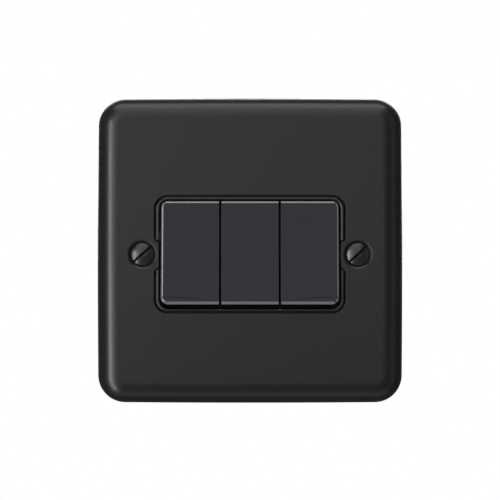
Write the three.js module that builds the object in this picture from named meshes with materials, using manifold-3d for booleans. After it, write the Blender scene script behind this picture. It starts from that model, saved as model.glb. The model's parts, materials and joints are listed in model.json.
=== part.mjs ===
// Three-gang rocker light switch on a raised, round-edged metal plate.
//
// Millimetres, +Z up. The front faces -Y and the wall plane is y = 0, so everything at
// y > 0 sits inside the wall box. The origin lies on the wall plane, midway between the
// two fixing screws. The rockers are modelled in their off position, lower edge out.
//
// Run with the npm packages three and manifold-3d; the default export is the model.

import * as THREE from 'three';
import * as BufferGeometryUtils from 'three/addons/utils/BufferGeometryUtils.js';
import Module from 'manifold-3d';

const wasm = await Module();
wasm.setup();

// ---------------------------------------------------------------- driving dimensions

// Face plate: a pressed sheet with a broad rounded edge.
const PLATE_SIZE = 86;
const PLATE_BOW = 0.15;            // how far each side bulges at its middle
const PLATE_CORNER_R = 7.7;
const PLATE_RISE = 5.5;            // flat face to wall
const PLATE_CENTRE_Z = 1.07;       // plate centre above the line of the fixing screws
const EDGE_WIDTH = 6;              // rounded band, from rim to flat face
const RIM_HEIGHT = 0.6;            // straight part of the rim next to the wall
const SHEET = 1;

// Fixing screws and their dimples.
const FIXING_CENTRES = 60.3;
const DIMPLE = [[4, -5.5], [3.6, -5.1], [2.15, -3.5]];   // radius and depth of its steps
const CUP_R = 4.4;                 // outside of the pressed dimple, behind the sheet
const FIXING_HEAD_R = 3.1;
const FIXING_DOME = 0.75;          // height of the raised head above its rim
const FIXING_SHANK_R = 1.65;
const FIXING_END_Y = 20;
const FIXING_HEAD_RIM_Y = -4.95;

// Aperture of the plate, with an ear of metal left beside each fixing screw.
const APERTURE_HALF_X = 26.8;
const APERTURE_HALF_Z = 16.5;
const APERTURE_R = 3.8;
const EAR_X = 25.4;
const EAR_LOW_Z = -4;
const EAR_HIGH_Z = 3.4;
const EAR_CHAMFER = 0.8;

// Switch module: bezel that shows in the aperture, flange and cage behind it.
const BEZEL_GAP = 0.5;
const BEZEL_FRONT_Y = -5.3;
const FLANGE_FRONT_Y = -4.2;
const FLANGE_BACK_Y = -2.7;
const FLANGE_HALF_X = 27.6;
const FLANGE_HALF_Z = 25;
const FLANGE_R = 3;
const OPENING_HALF_X = 25.3;       // rocker opening
const OPENING_HALF_Z = 15.25;
const OPENING_R = 2.6;
const CAGE_HALF_X = 26.6;
const CAGE_HALF_Z = 16.45;
const CAGE_BACK_Y = 0.6;
const LEDGE_Z = 12.8;              // shelf behind the rockers' ends starts here
const LEDGE_Y = -0.4;
const BOSS_R = 2.4;                // threaded boss of the plate, through the flange
const BOSS_END_Y = -2.9;
const BOSS_HOLE_R = 1.3;
const MODULE_SCREW_X = 20;
const MODULE_SCREW_Z = 22;

// Gangs and rockers.
const GANGS = [1, 2, 3];           // left to right as seen from the front
const GANG_PITCH = 16.6;
const POCKET_HALF_X = 7.5;
const PIVOT_Y = -1.4;
const ROCKER_TILT = THREE.MathUtils.degToRad(5.5);   // either side of level
const ROCKER_HALF_X = 8.05;        // towards a neighbour
const ROCKER_ROW_HALF_X = 24.83;   // outer sides of the end rockers
const ROCKER_HALF_Z = 14.44;       // at the face
const ROCKER_BASE_HALF_Z = 14.85;  // at the back of the end skirts
const ROCKER_FACE = 5.5;           // face edge in front of the pivot
const ROCKER_DISH = 0.5;
const ROCKER_CORNER_R = 2.1;
const TRUNNION_R = 1.15;
const TRUNNION_END = 8.1;
const TRUNNION_CLEARANCE = 0.1;

// Plunger and see-saw contact.
const PLUNGER_TIP = 8;             // behind the pivot
const FULCRUM_Y = PIVOT_Y + 9.5;
const BLADE_FRONT = -1.285;        // from the fulcrum axis
const BLADE_BACK = -0.485;
const CONTACT_Z = 6.2;
const TIP_R = 1.2;
const TIP_HEIGHT = 0.6;
const FIXED_TIP_FACE = 1.01;       // from the fulcrum axis

// Terminals.
const STRAP_FRONT_Y = FULCRUM_Y + FIXED_TIP_FACE + TIP_HEIGHT + 0.05;
const STRAP = 1;
const BLOCK_HALF_X = 2.8;
const BLOCK_FRONT_Y = 8;
const BLOCK_BACK_Y = 14.6;
const BLOCK_NEAR_Z = 10.4;
const BLOCK_FAR_Z = 16.6;
const WIRE_Y = 10.4;
const WIRE_R = 1.7;
const TERMINAL_Z = 13.5;
const SIDE_TERMINAL_X = 3.9;

// Rear housing.
const HOUSING_HALF_X = 27;
const HOUSING_HALF_Z = 19;
const HOUSING_WALL = 1.5;
const HOUSING_FRONT_Y = 0.9;
const HOUSING_BACK_Y = 17.9;

const GAP = 0.3;                   // between pieces that sit against each other
const SIDES = 24;                  // facets of a large round
const SMALL_SIDES = 12;

// ---------------------------------------------------------------- finishes

const finish = (color, roughness, metalness) =>
  new THREE.MeshStandardMaterial({ color, roughness, metalness });

const MATT_BLACK = finish(0x363638, 0.55, 0.4);
const BLACK_PLASTIC = finish(0x2b2b2d, 0.35, 0);
const GLOSS_BLACK = finish(0x333338, 0.15, 0);
const GREY_PLASTIC = finish(0x3a3b3c, 0.6, 0);
const NATURAL_NYLON = finish(0xe6e2d6, 0.5, 0);
const BRASS = finish(0xc9a24f, 0.35, 1);
const COPPER = finish(0xb87046, 0.35, 1);
const SILVER = finish(0xd8d8d4, 0.3, 1);
const STEEL = finish(0xb4b6b8, 0.35, 1);
const BLACK_STEEL = finish(0x2a2a2a, 0.4, 0.8);

// ---------------------------------------------------------------- solids

/** Closed manifold solid of a three.js geometry, whichever way its faces are wound. */
function solid(geometry) {
  const bare = geometry.clone();
  bare.deleteAttribute('normal');
  bare.deleteAttribute('uv');
  const merged = BufferGeometryUtils.mergeVertices(bare, 1e-5);
  const make = (triVerts) =>
    new wasm.Manifold(new wasm.Mesh({
      numProp: 3,
      vertProperties: new Float32Array(merged.attributes.position.array),
      triVerts,
    }));
  const index = Uint32Array.from(merged.index.array);
  const made = make(index);
  return made.volume() > 0 ? made : make(index.reverse());
}

/** Join of several solids. */
const union = (...solids) => solids.reduce((all, next) => all.add(next));

/** One solid with others cut from it. */
const cut = (from, ...tools) => tools.reduce((left, tool) => left.subtract(tool), from);

/** Box between two corners. */
function box([x0, y0, z0], [x1, y1, z1]) {
  const geometry = new THREE.BoxGeometry(x1 - x0, y1 - y0, z1 - z0);
  return solid(geometry.translate((x0 + x1) / 2, (y0 + y1) / 2, (z0 + z1) / 2));
}

/** Solid of revolution about the line through (x, z) along Y; profile holds [radius, y]. */
function turned(profile, x = 0, z = 0, sides = SMALL_SIDES) {
  const points = profile.map(([r, y]) => new THREE.Vector2(r, y));
  return solid(new THREE.LatheGeometry(points, sides).translate(x, 0, z));
}

/** Round bar along Y. */
const barY = (r, y0, y1, x = 0, z = 0, sides = SMALL_SIDES) =>
  turned([[0, y0], [r, y0], [r, y1], [0, y1]], x, z, sides);

/** Round bar along X. */
function barX(r, x0, x1, y, z, sides = SMALL_SIDES) {
  const geometry = new THREE.CylinderGeometry(r, r, x1 - x0, sides);
  return solid(geometry.rotateZ(Math.PI / 2).translate((x0 + x1) / 2, y, z));
}

/** Round bar along Z. */
function barZ(r, z0, z1, x, y, sides = SMALL_SIDES) {
  const geometry = new THREE.CylinderGeometry(r, r, z1 - z0, sides);
  return solid(geometry.rotateX(Math.PI / 2).translate(x, y, (z0 + z1) / 2));
}

/** Outline drawn in X and Z, extruded from y0 to y1. */
function prismY(shape, y0, y1, curveSegments = 6) {
  const options = { depth: y1 - y0, bevelEnabled: false, curveSegments };
  const geometry = new THREE.ExtrudeGeometry(shape, options);
  return solid(geometry.rotateX(Math.PI / 2).translate(0, y1, 0));
}

/** Outline drawn in Y and Z, extruded from x0 to x1. */
function prismX(shape, x0, x1, curveSegments = 8) {
  const options = { depth: x1 - x0, bevelEnabled: false, curveSegments };
  const geometry = new THREE.ExtrudeGeometry(shape, options);
  const turn = new THREE.Matrix4().makeBasis(
    new THREE.Vector3(0, 1, 0), new THREE.Vector3(0, 0, 1), new THREE.Vector3(1, 0, 0));
  return solid(geometry.applyMatrix4(turn).translate(x0, 0, 0));
}

/** Rounded rectangle centred on the origin. */
function roundedRectangle(halfX, halfZ, r) {
  const shape = new THREE.Shape();
  shape.moveTo(halfX, -halfZ + r);
  shape.lineTo(halfX, halfZ - r);
  shape.absarc(halfX - r, halfZ - r, r, 0, Math.PI / 2);
  shape.lineTo(-halfX + r, halfZ);
  shape.absarc(-halfX + r, halfZ - r, r, Math.PI / 2, Math.PI);
  shape.lineTo(-halfX, -halfZ + r);
  shape.absarc(-halfX + r, -halfZ + r, r, Math.PI, Math.PI * 1.5);
  shape.lineTo(halfX - r, -halfZ);
  shape.absarc(halfX - r, -halfZ + r, r, -Math.PI / 2, 0);
  return shape;
}

/** Rounded slab along Y. */
const slab = (halfX, halfZ, r, y0, y1) => prismY(roundedRectangle(halfX, halfZ, r), y0, y1);

/** Named mesh of a finished solid. */
function piece(name, shape, material) {
  const { vertProperties, triVerts } = shape.getMesh();
  const geometry = new THREE.BufferGeometry();
  geometry.setAttribute('position', new THREE.BufferAttribute(vertProperties, 3));
  geometry.setIndex(new THREE.BufferAttribute(triVerts, 1));
  geometry.computeVertexNormals();
  const mesh = new THREE.Mesh(geometry, material);
  mesh.name = name;
  return mesh;
}

// ---------------------------------------------------------------- face plate

/** One loop of the plate's outline, inset from its edge, at depth y. */
function plateLoop(inset, y) {
  const half = PLATE_SIZE / 2 - PLATE_BOW - inset;
  const r = Math.max(PLATE_CORNER_R - inset, 1.2);
  const straight = half - r;
  const loop = [];
  for (let side = 0; side < 4; side += 1) {
    const turn = (side * Math.PI) / 2;
    const place = (out, along) => loop.push(new THREE.Vector3(
      out * Math.cos(turn) - along * Math.sin(turn), y,
      out * Math.sin(turn) + along * Math.cos(turn) + PLATE_CENTRE_Z));
    for (const part of [-1, -0.5, 0, 0.5]) {
      place(half + PLATE_BOW * (1 - part * part), part * straight);
    }
    for (let step = 0; step < 6; step += 1) {
      const angle = (step * Math.PI) / 12;
      place(straight + r * Math.cos(angle), straight + r * Math.sin(angle));
    }
  }
  return loop;
}

/** Solid through a stack of matching loops, closed by a fan at each end. */
function loft(loops) {
  const count = loops[0].length;
  const points = loops.flat();
  const middle = (loop) => loop
    .reduce((sum, point) => sum.add(point), new THREE.Vector3())
    .divideScalar(count);
  points.push(middle(loops[0]), middle(loops.at(-1)));
  const index = [];
  for (let i = 0; i < count; i += 1) {
    const j = (i + 1) % count;
    for (let k = 0; k < loops.length - 1; k += 1) {
      const low = k * count;
      const high = low + count;
      index.push(low + i, low + j, high + i, low + j, high + j, high + i);
    }
    const last = (loops.length - 1) * count;
    index.push(points.length - 2, j, i, points.length - 1, last + i, last + j);
  }
  const geometry = new THREE.BufferGeometry().setFromPoints(points);
  geometry.setIndex(index);
  return solid(geometry);
}

/** Raised pillow form: straight rim, then a quarter ellipse up to the flat face. */
function pillow(shrink, backY, steps) {
  const width = EDGE_WIDTH - shrink / 2;
  const rise = PLATE_RISE - RIM_HEIGHT - shrink;
  const loops = [plateLoop(shrink, backY)];
  for (let step = 0; step <= steps; step += 1) {
    const angle = (step / steps) * (Math.PI / 2);
    const inset = shrink + width * (1 - Math.cos(angle));
    loops.push(plateLoop(inset, -RIM_HEIGHT - rise * Math.sin(angle)));
  }
  return loft(loops);
}

/** Outline of the plate's aperture with the ears beside the fixing screws. */
function apertureShape() {
  const x = APERTURE_HALF_X;
  const z = APERTURE_HALF_Z;
  const r = APERTURE_R;
  const shape = new THREE.Shape();
  shape.moveTo(x, EAR_HIGH_Z + EAR_CHAMFER);
  shape.lineTo(x, z - r);
  shape.absarc(x - r, z - r, r, 0, Math.PI / 2);
  shape.lineTo(-x + r, z);
  shape.absarc(-x + r, z - r, r, Math.PI / 2, Math.PI);
  shape.lineTo(-x, EAR_HIGH_Z + EAR_CHAMFER);
  shape.lineTo(-x + EAR_CHAMFER, EAR_HIGH_Z);
  shape.lineTo(-EAR_X, EAR_HIGH_Z);
  shape.lineTo(-EAR_X, EAR_LOW_Z);
  shape.lineTo(-x + EAR_CHAMFER, EAR_LOW_Z);
  shape.lineTo(-x, EAR_LOW_Z - EAR_CHAMFER);
  shape.lineTo(-x, -z + r);
  shape.absarc(-x + r, -z + r, r, Math.PI, Math.PI * 1.5);
  shape.lineTo(x - r, -z);
  shape.absarc(x - r, -z + r, r, -Math.PI / 2, 0);
  shape.lineTo(x, EAR_LOW_Z - EAR_CHAMFER);
  shape.lineTo(x - EAR_CHAMFER, EAR_LOW_Z);
  shape.lineTo(EAR_X, EAR_LOW_Z);
  shape.lineTo(EAR_X, EAR_HIGH_Z);
  shape.lineTo(x - EAR_CHAMFER, EAR_HIGH_Z);
  shape.closePath();
  return shape;
}

const moduleScrewPlaces = [[-1, 1], [1, 1], [-1, -1], [1, -1]]
  .map(([sx, sz]) => [sx * MODULE_SCREW_X, sz * MODULE_SCREW_Z]);

/** Pressed plate with dimpled fixing holes and threaded bosses behind it. */
function facePlate() {
  const faceY = -PLATE_RISE;
  const innerY = faceY + SHEET;
  let plate = cut(pillow(0, 0, 6), pillow(SHEET, 1, 4));
  for (const x of [-FIXING_CENTRES / 2, FIXING_CENTRES / 2]) {
    const cup = turned([[0, faceY + 0.2], [CUP_R, faceY + 0.2], [CUP_R, innerY], [3.1, -2.9],
      [0, -2.9]], x, 0, SIDES);
    const dimple = turned([[0, faceY - 1], [DIMPLE[0][0], faceY - 1], ...DIMPLE,
      [DIMPLE.at(-1)[0], -2], [0, -2]], x, 0, SIDES);
    plate = cut(plate.add(cup), dimple);
  }
  plate = cut(plate, prismY(apertureShape(), faceY - 1, 1));
  for (const [x, z] of moduleScrewPlaces) {
    plate = plate.add(cut(barY(BOSS_R, innerY - 0.2, BOSS_END_Y, x, z),
      barY(BOSS_HOLE_R, innerY - 0.1, 0, x, z)));
  }
  return piece('face_plate', plate, MATT_BLACK);
}

// ---------------------------------------------------------------- switch module mouldings

const gangX = (gang) => (gang - 2) * GANG_PITCH;
const wallPlaces = [-1.5, -0.5, 0.5, 1.5].map((step) => step * GANG_PITCH);

/** Front moulding: bezel ring, flange behind the plate and the cage that carries the rockers. */
function switchFrame() {
  const bezel = slab(APERTURE_HALF_X - BEZEL_GAP, APERTURE_HALF_Z - BEZEL_GAP,
    APERTURE_R - BEZEL_GAP, BEZEL_FRONT_Y, FLANGE_FRONT_Y + 0.1);
  const flange = slab(FLANGE_HALF_X, FLANGE_HALF_Z, FLANGE_R, FLANGE_FRONT_Y, FLANGE_BACK_Y);
  const cage = box([-CAGE_HALF_X, FLANGE_BACK_Y - 0.1, -CAGE_HALF_Z],
    [CAGE_HALF_X, CAGE_BACK_Y, CAGE_HALF_Z]);
  let frame = union(bezel, flange, cage);
  const earGap = GAP + 0.05;
  for (const side of [-1, 1]) {
    const near = side * (EAR_X - earGap);
    const far = side * (APERTURE_HALF_X + 1);
    frame = cut(frame, box([Math.min(near, far), BEZEL_FRONT_Y - 1, EAR_LOW_Z - earGap],
      [Math.max(near, far), FLANGE_FRONT_Y, EAR_HIGH_Z + earGap]));
  }
  frame = cut(frame, slab(OPENING_HALF_X, OPENING_HALF_Z, OPENING_R, BEZEL_FRONT_Y - 1, -3.6));
  for (const side of [-1, 1]) {
    const sweep = (z0, z1, y1) => {
      const [low, high] = side > 0 ? [z0, z1] : [-z1, -z0];
      return box([-OPENING_HALF_X, -3.7, low], [OPENING_HALF_X, y1, high]);
    };
    frame = cut(frame, sweep(2.4, LEDGE_Z, -2.3), sweep(LEDGE_Z - 0.2, OPENING_HALF_Z, LEDGE_Y));
  }
  for (const gang of GANGS) {
    const x = gangX(gang);
    frame = cut(frame, box([x - POCKET_HALF_X, -4, -LEDGE_Z], [x + POCKET_HALF_X, 1, LEDGE_Z]));
  }
  const notchR = TRUNNION_R + TRUNNION_CLEARANCE;
  const notch = union(barX(notchR, -CAGE_HALF_X + 0.6, CAGE_HALF_X - 0.6, PIVOT_Y, 0, SIDES),
    box([-CAGE_HALF_X + 0.6, PIVOT_Y, -notchR], [CAGE_HALF_X - 0.6, 1, notchR]));
  frame = cut(frame, notch);
  for (const x of [-FIXING_CENTRES / 2, FIXING_CENTRES / 2]) {
    frame = cut(frame, barY(CUP_R + GAP + 0.1, -5, FLANGE_BACK_Y, x, 0, SIDES));
  }
  for (const [x, z] of moduleScrewPlaces) {
    frame = cut(frame, barY(BOSS_R + GAP, -5, -2, x, z));
  }
  return piece('switch_frame', frame, BLACK_PLASTIC);
}

/** Every terminal's place: x of the wire and the end of the housing that it is at. */
function terminalPlaces(gang) {
  const x = gangX(gang);
  return {
    l1: { x: x - SIDE_TERMINAL_X, end: 1 },
    common: { x: x + SIDE_TERMINAL_X, end: 1 },
    l2: { x, end: -1 },
  };
}

/** Bar along Z between two distances from the middle, at the top (end 1) or bottom (-1). */
const barAtEnd = (r, near, far, x, y, end) =>
  barZ(r, Math.min(end * near, end * far), Math.max(end * near, end * far), x, y);

/** Rear moulding: a deep box with partitions, wire entries and screw access holes. */
function rearHousing() {
  const innerX = HOUSING_HALF_X - HOUSING_WALL;
  const innerZ = HOUSING_HALF_Z - HOUSING_WALL;
  const innerBack = HOUSING_BACK_Y - HOUSING_WALL;
  let housing = cut(slab(HOUSING_HALF_X, HOUSING_HALF_Z, 2, HOUSING_FRONT_Y, HOUSING_BACK_Y),
    box([-innerX, 0, -innerZ], [innerX, innerBack, innerZ]));
  for (const x of wallPlaces) {
    const thick = GANG_PITCH / 2 - POCKET_HALF_X;
    const low = x < -GANG_PITCH ? -HOUSING_HALF_X + 0.1 : x - thick;
    const high = x > GANG_PITCH ? HOUSING_HALF_X - 0.1 : x + thick;
    housing = union(housing,
      box([low, HOUSING_FRONT_Y, -innerZ - 0.2], [high, innerBack + 0.2, innerZ + 0.2]),
      box([Math.max(low, -CAGE_HALF_X + 0.9), PIVOT_Y + TRUNNION_R + TRUNNION_CLEARANCE, -1],
        [Math.min(high, CAGE_HALF_X - 0.9), HOUSING_FRONT_Y + 0.2, 1]));
  }
  for (const [x, z] of moduleScrewPlaces) {
    const end = Math.sign(z);
    const inner = end * (CAGE_HALF_Z + GAP);
    const outer = end * FLANGE_HALF_Z;
    const lug = box([x - 3.2, FLANGE_BACK_Y + GAP, Math.min(inner, outer)],
      [x + 3.2, -0.6, Math.max(inner, outer)]);
    const foot = box([x - 3.2, -0.8, Math.min(inner, end * (HOUSING_HALF_Z - 0.2))],
      [x + 3.2, 2, Math.max(inner, end * (HOUSING_HALF_Z - 0.2))]);
    housing = cut(union(housing, lug, foot), barY(1.5, -5, 0, x, z));
  }
  for (const gang of GANGS) {
    for (const { x, end } of Object.values(terminalPlaces(gang))) {
      housing = cut(housing,
        barAtEnd(2.2, innerZ - 0.5, HOUSING_HALF_Z + 1, x, WIRE_Y, end),
        barY(2.7, innerBack - 1, HOUSING_BACK_Y + 1, x, end * TERMINAL_Z));
    }
    const x = gangX(gang);
    const rib = box([x - 0.5, BLOCK_FRONT_Y, BLOCK_NEAR_Z + 1], [x + 0.5, innerBack + 0.2, innerZ + 0.2]);
    housing = housing.add(rib);
  }
  return piece('rear_housing', housing, GREY_PLASTIC);
}

// ---------------------------------------------------------------- rockers

/** Side outline of a rocker: dished face, sloping ends, hollow behind. */
function rockerOutline() {
  const chord = ROCKER_HALF_Z;
  const radius = (chord * chord + ROCKER_DISH * ROCKER_DISH) / (2 * ROCKER_DISH);
  const spread = Math.asin(chord / radius);
  const centre = -ROCKER_FACE + ROCKER_DISH - radius;
  const shape = new THREE.Shape();
  shape.moveTo(-ROCKER_FACE, -ROCKER_HALF_Z);
  shape.absarc(centre, 0, radius, -spread, spread);
  shape.lineTo(-1, ROCKER_BASE_HALF_Z);
  shape.lineTo(-1, ROCKER_BASE_HALF_Z - 1.3);
  shape.lineTo(-2.7, ROCKER_HALF_Z - 1.3);
  shape.lineTo(-2.7, -ROCKER_HALF_Z + 1.3);
  shape.lineTo(-1, -ROCKER_BASE_HALF_Z + 1.3);
  shape.lineTo(-1, -ROCKER_BASE_HALF_Z);
  shape.closePath();
  return shape;
}

/** One rocker about its own pivot, with its trunnions and the tube for its plunger. */
function rockerSolid(gang) {
  const outer = ROCKER_ROW_HALF_X - GANG_PITCH;
  let body = prismX(rockerOutline(), gang === 1 ? -outer : -ROCKER_HALF_X,
    gang === GANGS.length ? outer : ROCKER_HALF_X);
  body = cut(body, box([-ROCKER_HALF_X + 1.2, -3.6, -ROCKER_HALF_Z + 1.3],
    [ROCKER_HALF_X - 1.2, 0, ROCKER_HALF_Z - 1.3]));
  const field = slab(ROCKER_ROW_HALF_X, ROCKER_BASE_HALF_Z, ROCKER_CORNER_R, -7, 0);
  body = body.intersect(field.translate([-gangX(gang), 0, 0]));
  for (const side of [-1, 1]) {
    const lugX = side * 6.55;
    const end = side * TRUNNION_END;
    body = union(body, box([lugX - 0.65, -3.8, -2.2], [lugX + 0.65, 1.6, 2.2]),
      barX(TRUNNION_R, Math.min(lugX, end), Math.max(lugX, end), 0, 0, SIDES));
  }
  return cut(body.add(barY(2.6, -3.8, 4.6, 0, 0, SIDES)), barY(1.95, -1.5, 5, 0, 0, SIDES));
}

/** Plunger: stem inside the spring, guided collar and a round nose on the see-saw. */
function plungerSolid() {
  const noseR = 1;
  const noseCentre = PLUNGER_TIP - noseR;
  const nose = [0, 30, 60].map((degrees) => {
    const angle = THREE.MathUtils.degToRad(degrees);
    return [noseR * Math.cos(angle), noseCentre + noseR * Math.sin(angle)];
  });
  return turned([[0, 0.4], [0.75, 0.4], [0.75, 2.6], [1.75, 2.6], [1.75, 5.4],
    ...nose, [0, PLUNGER_TIP]]);
}

/** Rocker, spring and plunger of one gang, tilted to the off position. */
function rockerGroup(gang) {
  const group = new THREE.Group();
  group.position.set(gangX(gang), PIVOT_Y, 0);
  group.rotation.x = -ROCKER_TILT;
  const spring = cut(barY(1.7, -1.3, 2.4), barY(1.05, -2, 3));
  group.add(piece(`rocker_${gang}`, rockerSolid(gang), GLOSS_BLACK));
  group.add(piece(`plunger_spring_${gang}`, spring, STEEL));
  group.add(piece(`plunger_${gang}`, plungerSolid(), NATURAL_NYLON));
  return group;
}

// ---------------------------------------------------------------- contacts

/** Contact rivet: a low disc with its stem in the blade or strap. */
const tipSolid = (faceY, direction, z) => {
  const backY = faceY - direction * TIP_HEIGHT;
  const stemY = backY - direction * 0.5;
  const profile = [[0, stemY], [0.5, stemY], [0.5, backY], [TIP_R, backY],
    [TIP_R, faceY - direction * 0.15], [TIP_R - 0.25, faceY], [0, faceY]];
  return turned(profile, 0, z);
};

/** See-saw blade with its tips, rocked to the off position about the fulcrum. */
function movingContactGroup(gang) {
  const group = new THREE.Group();
  group.position.set(gangX(gang), FULCRUM_Y, 0);
  group.rotation.x = ROCKER_TILT;
  let blade = union(box([-1.9, BLADE_FRONT, -7.8], [1.9, BLADE_BACK, 7.8]),
    box([-3.4, BLADE_FRONT, -1.4], [3.4, BLADE_BACK, 1.4]));
  for (const side of [-1, 1]) {
    const cheek = side * 3.1;
    blade = blade.add(box([cheek - 0.3, BLADE_FRONT + 0.1, -1.4], [cheek + 0.3, 1.3, 1.4]));
    blade = cut(blade, barY(0.6, -2, 1, 0, side * CONTACT_Z));
  }
  group.add(piece(`moving_contact_${gang}`, blade, COPPER));
  for (const [side, where] of [[1, 'upper'], [-1, 'lower']]) {
    const face = BLADE_BACK + 0.05 + TIP_HEIGHT;
    group.add(piece(`moving_tip_${where}_${gang}`, tipSolid(face, 1, side * CONTACT_Z), SILVER));
  }
  return group;
}

/** Pillar block with its wire bore and screw hole. */
function terminalBlock({ x, end }) {
  const z0 = Math.min(end * BLOCK_NEAR_Z, end * BLOCK_FAR_Z);
  const z1 = Math.max(end * BLOCK_NEAR_Z, end * BLOCK_FAR_Z);
  const half = BLOCK_HALF_X;
  return cut(box([x - half, BLOCK_FRONT_Y, z0], [x + half, BLOCK_BACK_Y, z1]),
    barAtEnd(WIRE_R, BLOCK_NEAR_Z + 1.5, BLOCK_FAR_Z + 1, x, WIRE_Y, end),
    barY(1.7, WIRE_Y, BLOCK_BACK_Y + 1, x, end * TERMINAL_Z));
}

/** Flat stretch of contact strap. */
const strap = (x0, x1, z0, z1) =>
  box([x0, STRAP_FRONT_Y, z0], [x1, STRAP_FRONT_Y + STRAP, z1]);

/** The three terminals, their screws and the fixed contact tips of one gang. */
function terminalsOfGang(gang) {
  const x = gangX(gang);
  const places = terminalPlaces(gang);
  const hole = (z) => barY(0.6, STRAP_FRONT_Y - 1, STRAP_FRONT_Y + 2, x, z);
  const l1 = cut(union(terminalBlock(places.l1), strap(x - 6.4, x - 1.4, 4.7, BLOCK_NEAR_Z + 0.2),
    strap(x - 2, x + 1.9, 4.7, 7.7)), hole(CONTACT_Z));
  const l2 = cut(union(terminalBlock(places.l2), strap(x - 1.9, x + 1.9, -BLOCK_NEAR_Z - 0.2, -4.7)),
    hole(-CONTACT_Z));
  const barTop = STRAP_FRONT_Y + STRAP - 0.2;
  const common = union(terminalBlock(places.common), strap(x + 3.8, x + 6.4, -1.2, BLOCK_NEAR_Z + 0.2),
    box([x - 2.5, barTop, -1.2], [x + 6.4, barTop + STRAP, 1.2]),
    box([x - 2.5, FULCRUM_Y - 0.15, -0.5], [x + 2.5, barTop + 0.2, 0.5]));
  const group = new THREE.Group();
  group.add(piece(`l1_terminal_${gang}`, l1, BRASS));
  group.add(piece(`l2_terminal_${gang}`, l2, BRASS));
  group.add(piece(`common_terminal_${gang}`, common, BRASS));
  for (const [kind, place] of Object.entries(places)) {
    group.add(terminalScrew(`${kind}_screw_${gang}`, place.x, place.end * TERMINAL_Z));
  }
  for (const [side, where] of [[1, 'upper'], [-1, 'lower']]) {
    const tip = tipSolid(FIXED_TIP_FACE, -1, side * CONTACT_Z).translate([x, FULCRUM_Y, 0]);
    group.add(piece(`fixed_tip_${where}_${gang}`, tip, SILVER));
  }
  return group;
}

// ---------------------------------------------------------------- screws and small metal

/** Slotted cheese-head screw whose head faces back, from its tip to the top of its head. */
function rearScrew(name, x, z, { tipY, headY, headTopY, shankR, headR, slot }) {
  const screw = turned([[0, tipY], [shankR - 0.4, tipY], [shankR, tipY + 0.5], [shankR, headY],
    [headR, headY], [headR, headTopY - 0.2], [headR - 0.2, headTopY], [0, headTopY]]);
  const slotCut = box([-headR - 1, headTopY - slot, -0.4], [headR + 1, headTopY + 1, 0.4]);
  const mesh = piece(name, cut(screw, slotCut), STEEL);
  mesh.position.set(x, 0, z);
  return mesh;
}

const terminalScrew = (name, x, z) => rearScrew(name, x, z, {
  tipY: WIRE_Y + WIRE_R + 0.2, headY: BLOCK_BACK_Y + 0.15, headTopY: 16.2, shankR: 1.5, headR: 2.35, slot: 0.8,
});

const moduleScrew = (name, x, z) => rearScrew(name, x, z, {
  tipY: -4.3, headY: -0.45, headTopY: 1.2, shankR: 1.15, headR: 2.3, slot: 0.8,
});

/** Raised-head fixing screw of the wall box, slot turned as the fitter left it. */
function fixingScrew(name, x, slotAngle) {
  const rim = FIXING_HEAD_RIM_Y;
  const ball = (FIXING_HEAD_R ** 2 + FIXING_DOME ** 2) / (2 * FIXING_DOME);
  const dome = [0.33, 0.67].map((share) => {
    const r = share * FIXING_HEAD_R;
    return [r, rim - FIXING_DOME + ball - Math.sqrt(ball * ball - r * r)];
  });
  const screw = turned([[0, rim - FIXING_DOME], ...dome, [FIXING_HEAD_R, rim], [FIXING_HEAD_R, rim + 0.15],
    [FIXING_SHANK_R, rim + 1.5], [FIXING_SHANK_R, FIXING_END_Y - 0.5],
    [FIXING_SHANK_R - 0.5, FIXING_END_Y], [0, FIXING_END_Y]], 0, 0, SIDES);
  const slotCut = box([-FIXING_HEAD_R - 1, rim - 2, -0.45], [FIXING_HEAD_R + 1, rim + 0.35, 0.45]);
  const mesh = piece(name, cut(screw, slotCut), BLACK_STEEL);
  mesh.position.set(x, 0, 0);
  mesh.rotation.y = -slotAngle;
  return mesh;
}

/** Ring that keeps a fixing screw captive behind the plate. */
const screwWasher = (name, x) =>
  piece(name, cut(barY(3.4, -2.5, -1.7, x, 0), barY(1.85, -3, -1, x, 0)), NATURAL_NYLON);

/** Earth terminal on the back of the metal plate, with its screw. */
function earthTerminal() {
  const x = -22;
  const z = -32;
  const group = new THREE.Group();
  const block = cut(box([x - 3.5, -4.2, z - 3.5], [x + 3.5, 3.4, z + 3.5]),
    barZ(1.7, z - 5, z + 2, x, -1), barY(1.7, -1, 4, x, z));
  group.add(piece('earth_terminal', block, BRASS));
  group.add(rearScrew('earth_screw', x, z, {
    tipY: 0.9, headY: 3.55, headTopY: 5.2, shankR: 1.5, headR: 2.6, slot: 0.8,
  }));
  return group;
}

// ---------------------------------------------------------------- assembly

const lightSwitch = new THREE.Group();
lightSwitch.name = 'three_gang_light_switch';
lightSwitch.add(facePlate(), switchFrame(), rearHousing());
for (const gang of GANGS) {
  lightSwitch.add(rockerGroup(gang), movingContactGroup(gang), terminalsOfGang(gang));
}
moduleScrewPlaces.forEach(([x, z], i) => lightSwitch.add(moduleScrew(`module_screw_${i + 1}`, x, z)));
for (const [side, where, degrees] of [[-1, 'left', 41], [1, 'right', 43]]) {
  const x = (side * FIXING_CENTRES) / 2;
  lightSwitch.add(fixingScrew(`fixing_screw_${where}`, x, THREE.MathUtils.degToRad(degrees)));
  lightSwitch.add(screwWasher(`screw_washer_${where}`, x));
}
lightSwitch.add(earthTerminal());

export default lightSwitch;
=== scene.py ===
"""Three-gang rocker light switch on a raised, round-edged metal plate.

Lengths in this script are millimetres in the part's own frame: +Z up, the front faces -Y, and
the wall plane is y = 0. Meshes are scaled to metres as they become pieces.
"""

import json
import logging
import math
import random
from dataclasses import dataclass
from enum import Enum
from typing import Callable, Iterable, Sequence

import bmesh
import bpy
from mathutils import Matrix, Vector


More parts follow.
